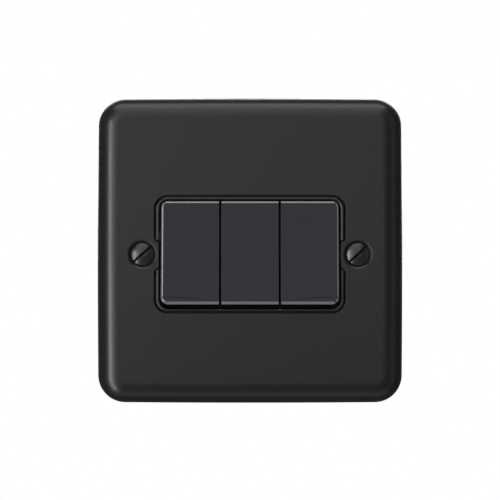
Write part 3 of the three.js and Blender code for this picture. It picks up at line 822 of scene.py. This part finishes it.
@dataclass
class Rocker:
    """One rocker with its trunnions and plunger tube, and the plunger and spring inside."""

    gang: int
    half_x: float = 8.02
    row_half_x: float = 24.83
    half_z: float = 14.44
    base_half_z: float = 14.85
    face: float = 5.5
    dish: float = 0.5
    corner_radius: float = 2.4
    edge_rounding: float = 0.72
    foot_rounding: float = 0.95
    inner_rounding: float = 0.08
    trunnion_end: float = 8.1
    # Slopes and depth of the rim faces that get the pale painted highlight.
    highlight_slopes: tuple[float, float] = (0.3, 0.985)
    highlight_depth: float = 1.3

    def __post_init__(self) -> None:
        """Reads the pivot and the resting tilt from the frame."""
        joint = joint_named(f"rocker_{self.gang}_switch")
        pivot = Vector(joint["pos_m"]) / MM
        self.tilt = math.radians(sum(joint["range_deg"]) / 2)
        self.place = Matrix.Translation(pivot) @ Matrix.Rotation(-self.tilt, 4, "X")
        self.offset = pivot.x

    def side_outline(self) -> Outline:
        """Side view, in Y and Z about the pivot: dished face and sloping ends, hollow behind."""
        chord = self.half_z
        radius = (chord * chord + self.dish * self.dish) / (2 * self.dish)
        spread = math.degrees(math.asin(chord / radius))
        face = arc((-self.face + self.dish - radius, 0), radius, -spread, spread, 28)
        half, base = self.half_z - 1.3, self.base_half_z
        upper = [(-1, base), (-1, base - 1.3), (-2.7, half)]
        return face + upper + [(y, -z) for y, z in reversed(upper)]

    def rounding(self, middle: Vector) -> float:
        """Share of the largest rounding at a point: full at the foot, slight between rockers."""
        face_edge = middle.y < -self.face + 0.8
        outer_side = abs(middle.x + self.offset) > self.row_half_x - 2.5
        end = abs(middle.z) > self.half_z - 0.2 and face_edge
        inner = abs(abs(middle.x) - self.half_x) < 0.01
        if face_edge and not inner and (outer_side or end):
            return 1.0 if middle.z < 1 - self.half_z else self.edge_rounding / self.foot_rounding
        return self.inner_rounding / self.foot_rounding

    def gets_painted_highlight(self, middle: Vector, normal: Vector) -> bool:
        """Whether a face of the placed rocker is on the rounded rim round the row, which gets the painted
        highlight.
        """
        back = self.place.inverted()
        spot, slope = back @ middle, -(back.to_3x3() @ normal).y
        inner = abs(spot.x) > self.half_x - 0.1 and abs(middle.x) < self.row_half_x - 1
        steep, flat = self.highlight_slopes
        return steep < slope < flat and spot.y < -self.face + self.highlight_depth and not inner

    def build(self) -> None:
        """Builds and dresses the rocker."""
        outer = self.row_half_x - GANG_PITCH
        low = -outer if self.gang == 1 else -self.half_x
        high = outer if self.gang == 3 else self.half_x
        body = Solid.prism(self.side_outline(), low, high, Axis.X)
        body.cut(Solid.box((-self.half_x + 1.2, -3.6, -self.half_z + 1.3),
                           (self.half_x - 1.2, 0, self.half_z - 1.3)))
        field = rounded_rectangle(self.row_half_x, self.base_half_z, self.corner_radius, 14)
        body.meet(Solid.prism([(x - self.offset, z) for x, z in field], -7, 0, Axis.Y))
        body.rounded(self.foot_rounding, segments=7, weight=self.rounding, clamp=False)
        for side in (-1, 1):
            lug = side * 6.55
            start, end = sorted((lug, side * self.trunnion_end))
            body.join(Solid.box((lug - 0.65, -3.8, -2.2), (lug + 0.65, 1.6, 2.2)),
                      Solid.bar(1.15, start, end, (0, 0), Axis.X, 32))
        body.join(Solid.bar(2.6, -3.8, 4.6)).cut(Solid.bar(1.95, -1.5, 5))
        body.moved(self.place)
        # The rim faces get the pale painted highlight; the rest is the gloss black resin.
        body.piece(f"rocker_moulding_{self.gang}", f"rocker_body_{self.gang}", GLOSS_ROCKER,
                   [f"rocker_{self.gang}"], accent=(PAINTED_EDGE_HIGHLIGHT, self.gets_painted_highlight))

    def build_plunger(self) -> None:
        """Builds the plunger: stem, guided collar and round nose."""
        nose = arc((0, 7), 1, 0, 85, 8)
        profile = [(0.55, 0.4), (0.75, 0.6), (0.75, 2.6), (1.6, 2.6), (1.75, 2.75), (1.75, 5.25),
                   (1.6, 5.4), (1.15, 5.8)] + nose
        solid = Solid.turned(profile, sides=40).moved(self.place)
        solid.piece(f"nylon_plunger_{self.gang}", f"plunger_body_{self.gang}", NATURAL_NYLON,
                    [f"plunger_{self.gang}"])

    def build_spring(self, wire: float = 0.24, radius: float = 1.42, turns: int = 6) -> None:
        """Builds the plunger's coil spring.

        Args:
            wire: The wire's radius.
            radius: The coil's mean radius.
            turns: How many turns it has.
        """
        start, end, steps, sides = -1.25, 2.5, 26, 10
        vertices = []
        for i in range(turns * steps + 1):
            share = i / (turns * steps)
            closed = 0.5 - 0.5 * math.cos(math.pi * min(max((share - 0.12) / 0.76, 0), 1))
            eased = 0.35 * closed + 0.65 * share
            turn = math.tau * i / steps
            along = start + wire + (end - start - 2 * wire) * eased
            for k in range(sides):
                around = math.tau * k / sides
                out = radius + wire * math.cos(around)
                y = along + wire * math.sin(around)
                vertices.append((out * math.cos(turn), y, out * math.sin(turn)))
        coil = Solid(vertices, ring_faces(turns * steps + 1, sides)).moved(self.place)
        name = f"plunger_spring_{self.gang}"
        spring = coil.piece(f"coil_spring_{self.gang}", f"rocker_body_{self.gang}", SPRING_WIRE, [name])
        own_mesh(spring)


# ------------------------------------------------------------------ contacts and terminals


@dataclass
class SwitchContacts:
    """The see-saw blade, contact rivets and terminals of one gang."""

    gang: int
    fillet: float = 0.12
    tip_radius: float = 1.2
    tip_height: float = 0.6

    def build_blade(self) -> None:
        """Builds the see-saw blade."""
        solid = Solid.of_node(f"moving_contact_{self.gang}").rounded(self.fillet, 2)
        solid.piece(f"seesaw_blade_{self.gang}", f"contact_body_{self.gang}", COPPER,
                    [f"moving_contact_{self.gang}"])

    def tip(self, face: float, direction: int, z: float) -> Solid:
        """A domed contact rivet with its stem.

        Args:
            face: Depth of its contact face.
            direction: 1 if it faces back, -1 if it faces forward.
            z: Its height.

        Returns:
            The rivet.
        """
        back = face - direction * self.tip_height
        rim = [(self.tip_radius, back), (self.tip_radius, face - direction * 0.25)]
        dome = [(self.tip_radius * math.cos(a), face - direction * 0.25 * (1 - math.sin(a)))
                for a in (math.radians(d) for d in (30, 55, 75, 88))]
        stem = [(0.5, back - direction * 0.5), (0.5, back)]
        return Solid.turned(stem + rim + dome, (0, z), sides=36)

    def build_tips(self) -> None:
        """Builds the four contact rivets."""
        joint = joint_named(f"contact_{self.gang}_seesaw")
        fulcrum = Vector(joint["pos_m"]) / MM
        tilt = -math.radians(sum(joint["range_deg"]) / 2)
        rocked = Matrix.Translation(fulcrum) @ Matrix.Rotation(tilt, 4, "X")
        for z, where in ((6.2, "upper"), (-6.2, "lower")):
            moving = self.tip(0.165, 1, z).moved(rocked)
            moving.piece(f"moving_rivet_{where}_{self.gang}", f"contact_body_{self.gang}", SILVER,
                         [f"moving_tip_{where}_{self.gang}"])
            fixed = self.tip(1.01, -1, z).moved(Matrix.Translation(fulcrum))
            fixed.piece(f"fixed_rivet_{where}_{self.gang}", BASE, SILVER,
                        [f"fixed_tip_{where}_{self.gang}"])

    def build_terminals(self) -> None:
        """Builds the three brass terminals with true round bores."""
        for kind, end in (("l1", 1), ("l2", -1), ("common", 1)):
            node = f"{kind}_terminal_{self.gang}"
            x = centre_mm(f"{kind}_screw_{self.gang}")[0]
            near, far = sorted((end * 11.9, end * 17.6))
            solid = Solid.of_node(node)
            solid.cut(Solid.bar(LEAD_RADIUS, near, far, (x, WIRE_Y), Axis.Z),
                      Solid.bar(LEAD_RADIUS, WIRE_Y, 16, (x, end * TERMINAL_Z)))
            solid.rounded(self.fillet, 2).piece(f"{kind}_brass_{self.gang}", BASE, BRASS, [node])

    def build(self) -> None:
        """Builds every contact piece of the gang."""
        self.build_blade()
        self.build_tips()
        self.build_terminals()


@dataclass
class EarthTerminal:
    """Brass block on the back of the plate."""

    def build(self) -> None:
        """Builds and dresses the block."""
        x, z = centre_mm("earth_terminal")
        solid = Solid.of_node("earth_terminal")
        solid.cut(Solid.bar(LEAD_RADIUS, z - 5, z + 2, (x, -1), Axis.Z),
                  Solid.bar(LEAD_RADIUS, -1, 4, (x, z)))
        solid.rounded(0.3, 3).piece("earth_block", BASE, BRASS, ["earth_terminal"])


# ------------------------------------------------------------------ rear housing


@dataclass
class RearHousing:
    """Deep box behind the rockers, with wire entries and screw access holes."""

    wall: float = 1.5
    half_x: float = 27.0
    half_z: float = 19.0
    front_y: float = 0.9
    back_y: float = 17.9
    partition: float = 0.8
    entry_radius: float = 2.2
    access_radius: float = 2.7

    def shell(self) -> Solid:
        """The open box with its partitions and the tongues that close the trunnion notches."""
        outline = rounded_rectangle(self.half_x, self.half_z, 2)
        part = Solid.prism(outline, self.front_y, self.back_y, Axis.Y)
        inner_x, inner_z = self.half_x - self.wall, self.half_z - self.wall
        inner_back = self.back_y - self.wall
        part.cut(Solid.box((-inner_x, 0, -inner_z), (inner_x, inner_back, inner_z)))
        for step in (-1.5, -0.5, 0.5, 1.5):
            x = step * GANG_PITCH
            low = -self.half_x + 0.1 if step < -1 else x - self.partition
            high = self.half_x - 0.1 if step > 1 else x + self.partition
            part.join(Solid.box((low, self.front_y, -inner_z - 0.2),
                                (high, inner_back + 0.2, inner_z + 0.2)))
            tongue = (max(low, -25.7), min(high, 25.7))
            part.join(Solid.box((tongue[0], -0.15, -1), (tongue[1], self.front_y + 0.2, 1)))
        return part

    def add_lugs(self, part: Solid) -> None:
        """Adds the four lugs that the module's screws hold down."""
        for i in range(1, 5):
            x, z = centre_mm(f"module_screw_{i}")
            end = 1 if z > 0 else -1
            inner, outer = sorted((end * 16.75, end * 25))
            part.join(Solid.box((x - 3.2, -2.4, inner), (x + 3.2, -0.6, outer)))
            inner, outer = sorted((end * 16.75, end * (self.half_z - 0.2)))
            part.join(Solid.box((x - 3.2, -0.8, inner), (x + 3.2, 2, outer)))
            part.cut(Solid.bar(1.5, -5, 0, (x, z)))

    def drill(self, part: Solid) -> None:
        """Cuts the wire entries and the access holes, each with a collar or a lead-in."""
        for gang in (1, 2, 3):
            for kind, end in (("l1", 1), ("l2", -1), ("common", 1)):
                x, z = centre_mm(f"{kind}_screw_{gang}")[0], end * TERMINAL_Z
                part.join(Solid.bar(3.4, self.back_y - 0.2, self.back_y + 0.5, (x, z)))
                access = [(self.access_radius, self.back_y - self.wall - 1),
                          (self.access_radius, self.back_y + 0.1), (3.0, self.back_y + 1)]
                part.cut(Solid.turned(access, (x, z)))
                reach = [(self.entry_radius, self.half_z - self.wall - 0.5),
                         (self.entry_radius, self.half_z - 0.6), (3.0, self.half_z + 0.2)]
                profile = [(r, end * along) for r, along in reach]
                part.cut(Solid.turned(profile, (x, WIRE_Y), Axis.Z))

    def mark(self, part: Solid) -> None:
        """Cuts the gang grooves, ejector marks and the stripping gauge into the back."""
        for x in (-GANG_PITCH / 2, GANG_PITCH / 2):
            part.cut(Solid.box((x - 0.4, self.back_y - 0.35, -self.half_z - 1),
                               (x + 0.4, self.back_y + 1, self.half_z + 1)))
        for x in (-23.5, -4.2, 4.2, 23.5):
            part.cut(Solid.bar(1.3, self.back_y - 0.12, self.back_y + 1, (x, -5.5)))
        part.cut(Solid.box((-5, self.back_y - 0.4, 2.2), (5, self.back_y + 1, 4.2)))

    def build(self) -> None:
        """Builds and dresses the housing."""
        part = self.shell()
        self.add_lugs(part)
        for gang in (-1, 0, 1):
            x = gang * GANG_PITCH
            part.join(Solid.box((x - 0.5, 8, 11.4), (x + 0.5, self.back_y - 1.3, self.half_z - 1.3)))
        self.drill(part)
        self.mark(part)
        part.rounded(0.25, segments=2)
        part.piece("rear_moulding", BASE, DARK_HOUSING, ["rear_housing"])


# ------------------------------------------------------------------ screws and washers


@dataclass
class ThreadedScrew:
    """A slotted screw with a real helical thread, head at the end of its profile."""

    thread_radius: float
    core_radius: float
    pitch: float
    tip_y: float
    head_y: float
    head: Outline
    slot_width: float = 0.8
    slot_depth: float = 0.8
    sides: int = 36

    def rows(self) -> list[tuple[float, float, float]]:
        """Radius, depth and share of thread of each row, from the tip to the top of the head."""
        toward = 1 if self.head_y > self.tip_y else -1
        length = abs(self.head_y - self.tip_y)
        count = max(8, int(length / self.pitch * 8))
        rows = [(self.core_radius - 0.35, self.tip_y, 0.0)]
        for i in range(1, count + 1):
            share = i / count
            fade = min(1.0, 4 * share * length / self.pitch / 8, 8 * (1 - share) * length / self.pitch / 8)
            rows.append((self.core_radius, self.tip_y + toward * length * share, fade))
        return rows + [(radius, y, 0.0) for radius, y in self.head]

    def solid(self) -> Solid:
        """The screw about the Y axis, with its slot along X."""
        vertices = []
        for radius, y, share in self.rows():
            for i in range(self.sides):
                turn = i / self.sides
                phase = (y / self.pitch - turn) % 1
                crest = max(0.0, min(1.0, 1.25 - abs(phase * 2 - 1) * 1.5))
                reach = radius + share * crest * (self.thread_radius - self.core_radius)
                vertices.append((reach * math.cos(math.tau * turn), y, reach * math.sin(math.tau * turn)))
        solid = Solid(vertices, ring_faces(len(self.rows()), self.sides))
        top_y = self.head[-1][1]
        out = 1 if self.head_y > self.tip_y else -1
        low, high = sorted((top_y - out * self.slot_depth, top_y + out))
        width = max(radius for radius, _ in self.head) + 1
        slot = Solid.box((-width, low, -self.slot_width / 2), (width, high, self.slot_width / 2))
        return solid.cut(slot)


@dataclass
class Screws:
    """Every screw of the switch."""

    seed: int = 7

    def place_copies(self, screw: ThreadedScrew, name: str, nodes: Sequence[str], finish: Finish) -> None:
        """Puts one screw's mesh at several nodes, each turned as its driver left it.

        Args:
            screw: The screw, at its true depth.
            name: What the pieces are called, before a number.
            nodes: The CAD nodes that they stand for.
            finish: Their surface.
        """
        turns = random.Random(self.seed)
        first = screw.solid().rounded(0.06, 2, degrees=50)
        for i, node in enumerate(nodes, 1):
            x, z = centre_mm(node)
            spin = Matrix.Rotation(turns.uniform(0, math.pi), 4, "Y")
            twin = first.copy().moved(Matrix.Translation((x, 0, z)) @ spin)
            twin.piece(f"{name}_{i}", BASE, finish, [node])
        bpy.data.meshes.remove(first.object.data)

    def build_rear(self) -> None:
        """Builds the terminal, module and earth screws, whose heads face back."""
        terminals = [f"{k}_screw_{g}" for g in (1, 2, 3) for k in ("l1", "l2", "common")]
        for name, nodes, thread, head_r in (
            ("terminal_screw", terminals, 1.6, 2.35),
            ("holding_screw", [f"module_screw_{i}" for i in range(1, 5)], 1.25, 2.3),
            ("earthing_screw", ["earth_screw"], 1.6, 2.6),
        ):
            low, high = box_mm(nodes[0])
            top = high.y
            seat = top - 1.6
            head = [(head_r - 0.1, seat), (head_r, seat + 0.1), (head_r, top - 0.35)]
            head += [(head_r - 0.25 + 0.25 * math.cos(a), top - 0.35 + 0.35 * math.sin(a))
                     for a in (math.radians(d) for d in (25, 50, 75, 90))]
            screw = ThreadedScrew(thread, thread - 0.3, 0.6, low.y, seat, head)
            self.place_copies(screw, name, nodes, ZINC_STEEL)

    def build_fixing(self) -> None:
        """Builds the two raised-head fixing screws that show on the front."""
        rim, radius, height = -4.95, 3.1, 0.75
        ball = (radius * radius + height * height) / (2 * height)
        for side, degrees in (("left", 41), ("right", 43)):
            node = f"fixing_screw_{side}"
            low, high = box_mm(node)
            shares = (1, 0.96, 0.88, 0.78, 0.66, 0.54, 0.42, 0.3, 0.18, 0.06)
            dome = [(radius * f, rim - height + ball - math.sqrt(ball * ball - (radius * f) ** 2))
                    for f in shares]
            head = [(1.75, rim + 1.45), (radius - 0.15, rim + 0.3), (radius, rim + 0.15)] + dome
            screw = ThreadedScrew(1.75, 1.4, 0.6, high.y, rim + 1.9, head, 0.62, 1.2, 72)
            solid = screw.solid().rounded(0.04, 2, degrees=50)
            spin = Matrix.Rotation(-math.radians(degrees), 4, "Y")
            place = Matrix.Translation(((low.x + high.x) / 2, 0, 0)) @ spin
            back = place.inverted()
            # Faces inside the slot get the near black painted shade.
            solid.moved(place).piece(
                f"raised_head_screw_{side}", BASE, BLACK_SCREW, [node],
                accent=(SLOT_PAINTED_SHADE, lambda middle, normal: abs((back @ middle).z) < 0.33),
            )

    def build_washers(self) -> None:
        """Builds the rings that keep the fixing screws captive."""
        for side in ("left", "right"):
            node = f"screw_washer_{side}"
            low, high = box_mm(node)
            x = (low.x + high.x) / 2
            ring = Solid.bar(3.4, low.y, high.y, (x, 0)).cut(Solid.bar(1.8, low.y - 1, high.y + 1, (x, 0)))
            ring.rounded(0.15, 2).piece(f"retaining_ring_{side}", BASE, NATURAL_NYLON, [node])

    def build(self) -> None:
        """Builds them all."""
        self.build_rear()
        self.build_fixing()
        self.build_washers()


# ------------------------------------------------------------------ studio


@dataclass
class Studio:
    """Camera, lights, pale floor and white surround."""

    view_width: float = 139.8
    view_distance: float = 427.0
    focus: Point = (0.0, -5.0, 1.2)
    floor_z: float = -120.0

    def build_camera(self) -> None:
        """A long lens, square on to the plate."""
        lens = bpy.data.cameras.new("camera")
        lens.sensor_width = 36
        lens.lens = lens.sensor_width * self.view_distance / self.view_width
        lens.clip_start, lens.clip_end = 0.01, 20
        camera = bpy.data.objects.new("camera", lens)
        x, y, z = self.focus
        camera.location = Vector((x, y - self.view_distance, z)) * MM
        camera.rotation_euler = (math.radians(90), 0, 0)
        bpy.context.scene.collection.objects.link(camera)
        bpy.context.scene.camera = camera

    def light(
        self, name: str, azimuth: float, elevation: float, spread: tuple[float, float], radiance: float,
        distance: float = 1200,
    ) -> None:
        """One soft box that faces the switch.

        Args:
            name: Its name.
            azimuth: Degrees to the right of the camera's side, seen from the front.
            elevation: Degrees above the horizon.
            spread: Degrees of its width and height, seen from the switch.
            radiance: How bright its face is.
            distance: How far off it stands.
        """
        lamp = bpy.data.lights.new(name, "AREA")
        lamp.shape = "RECTANGLE"
        lamp.size, lamp.size_y = (2 * distance * MM * math.tan(math.radians(s / 2)) for s in spread)
        lamp.energy = radiance * math.pi * lamp.size * lamp.size_y
        box = bpy.data.objects.new(name, lamp)
        a, e = math.radians(azimuth), math.radians(elevation)
        toward = Vector((math.sin(a) * math.cos(e), -math.cos(a) * math.cos(e), math.sin(e)))
        box.location = toward * distance * MM
        box.visible_camera = False
        box.rotation_mode = "QUATERNION"
        box.rotation_quaternion = toward.to_track_quat("Z", "Y")
        bpy.context.scene.collection.objects.link(box)

    def build_lights(self) -> None:
        """Soft boxes on the left, in front, above, on the right, below the table and behind."""
        self.light("left_strip", -41, -14, (12, 58), 8.2)
        self.light("left_panel", -26, 4, (16, 40), 1.5)
        self.light("front_panel", -1, 8, (34, 30), 0.58)
        self.light("upper_panel", -8, 34, (50, 20), 0.95)
        self.light("top_panel", 0, 52, (44, 16), 1.3)
        self.light("top_box", 0, 71, (60, 22), 2.4)
        self.light("right_strip", 60, 0, (16, 60), 0.3)
        self.light("low_panel", 0, -64, (80, 26), 0.42)
        self.light("rear_left", -158, 26, (36, 48), 4.5)
        self.light("rear_right", 158, 26, (36, 48), 4.5)

    def build_surround(self) -> None:
        """White behind the switch, dim grey wherever else light comes from."""
        scene = bpy.context.scene
        world = bpy.data.worlds.new("surround")
        world.use_nodes = True
        tree = world.node_tree
        tree.nodes.clear()
        seen = add_node(tree, "ShaderNodeLightPath").outputs["Is Camera Ray"]
        dim = add_node(tree, "ShaderNodeBackground", Color=linear("#ffffff"), Strength=0.1)
        white = add_node(tree, "ShaderNodeBackground", Color=linear("#ffffff"), Strength=1.0)
        mix = add_node(tree, "ShaderNodeMixShader", {"Fac": seen})
        tree.links.new(dim.outputs[0], mix.inputs[1])
        tree.links.new(white.outputs[0], mix.inputs[2])
        add_node(tree, "ShaderNodeOutputWorld", {"Surface": mix.outputs[0]})
        scene.world = world
        scene.view_settings.view_transform = "Standard"

    def build_floor(self) -> None:
        """A pale table below the switch, which neither lights, shades nor shows in the switch."""
        mesh = bpy.data.meshes.new("floor")
        z = self.floor_z * MM
        reach, back_edge = 4, 0.2
        corners = [(-reach, -reach, z), (reach, -reach, z), (reach, back_edge, z), (-reach, back_edge, z)]
        mesh.from_pydata(corners, [], [(0, 1, 2, 3)])
        floor = bpy.data.objects.new("floor", mesh)
        bpy.context.scene.collection.objects.link(floor)
        floor.visible_diffuse = floor.visible_glossy = floor.visible_shadow = False
        surface = bpy.data.materials.new("pale table")
        surface.use_nodes = True
        tree = surface.node_tree
        tree.nodes.clear()
        place = add_node(tree, "ShaderNodeTexCoord").outputs["Object"]
        cloud = add_node(tree, "ShaderNodeTexNoise", {"Vector": place}, Scale=6.0, Detail=2.0)
        rough = add_node(tree, "ShaderNodeMapRange", {"Value": cloud.outputs["Fac"]}, To_Min=0.6, To_Max=0.8)
        shader = add_node(
            tree, "ShaderNodeBsdfPrincipled", {"Roughness": rough.outputs["Result"]},
            Base_Color=linear("#e9e9e8"), Emission_Color=linear("#f2f2f1"), Emission_Strength=0.55,
        )
        add_node(tree, "ShaderNodeOutputMaterial", {"Surface": shader.outputs["BSDF"]})
        mesh.materials.append(surface)

    def build(self) -> None:
        """Sets up the whole studio."""
        self.build_camera()
        self.build_lights()
        self.build_surround()
        self.build_floor()


# ------------------------------------------------------------------ the switch


def main() -> None:
    """Builds the studio and every piece of the switch."""
    logging.basicConfig(level=logging.INFO, format="%(name)s: %(message)s")
    Studio().build()
    plate = FacePlate()
    plate.build()
    SwitchFrame().build(plate)
    RearHousing().build()
    for gang in (1, 2, 3):
        rocker = Rocker(gang)
        rocker.build()
        rocker.build_plunger()
        rocker.build_spring()
        SwitchContacts(gang).build()
    EarthTerminal().build()
    Screws().build()


if __name__ == "__main__":
    main()
